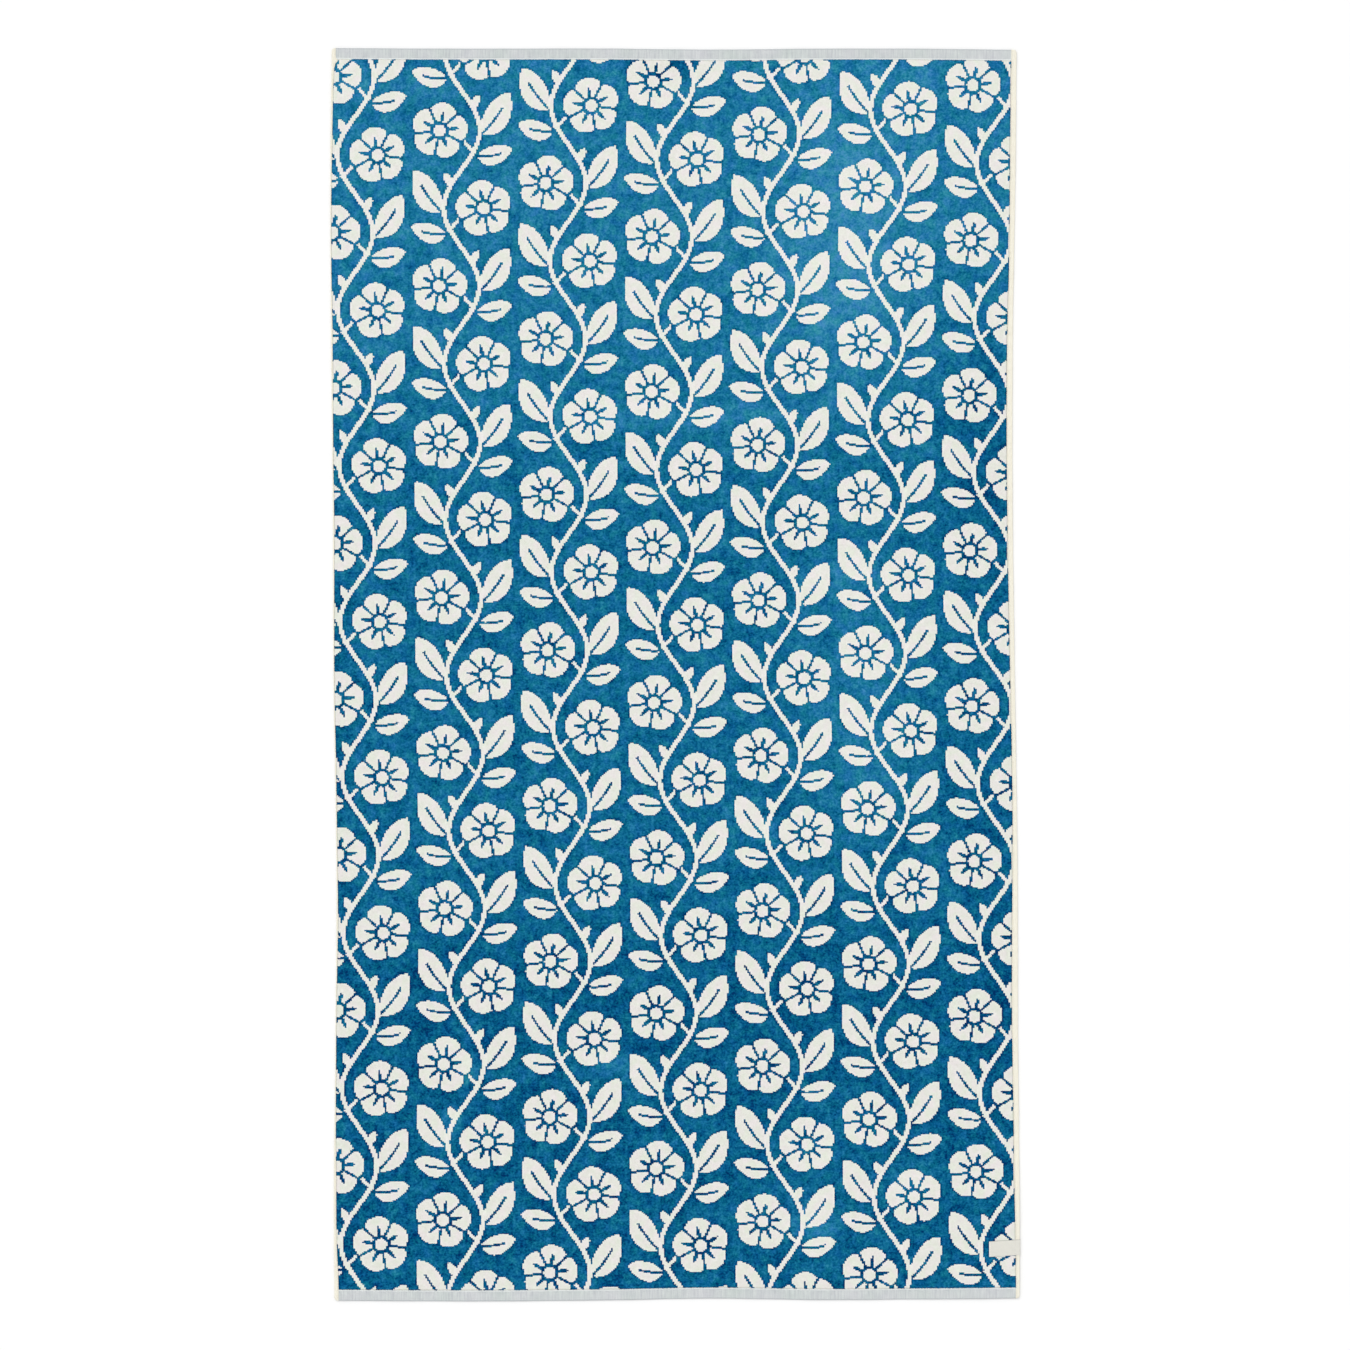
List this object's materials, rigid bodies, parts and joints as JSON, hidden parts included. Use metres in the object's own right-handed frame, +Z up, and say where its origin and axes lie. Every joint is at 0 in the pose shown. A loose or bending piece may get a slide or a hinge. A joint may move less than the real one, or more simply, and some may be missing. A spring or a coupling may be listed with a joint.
{
  "type": "beach towel",
  "caption": "Flat rectangular velour towel lying face up, with sewn side hems, a flat woven band across each end and a small blank label folded round one hem.",
  "frame": {"origin": "centre of the towel's footprint, on the flat surface that it lies on", "axes": "+X across the towel towards the hem with the label, +Y along it away from the end with the label, +Z up out of the pile face"},
  "size_m": [0.9748, 1.7703, 0.0056],
  "materials": {
    "towel_cloth": "short cotton velour pile in blue and cream, pale flat woven end bands, cream hems",
    "label_cloth": "finely woven pale grey tape, blank"
  },
  "bodies": {
    "root": {"towel_sheet": "towel_cloth", "side_label": "label_cloth"}
  },
  "joints": []
}
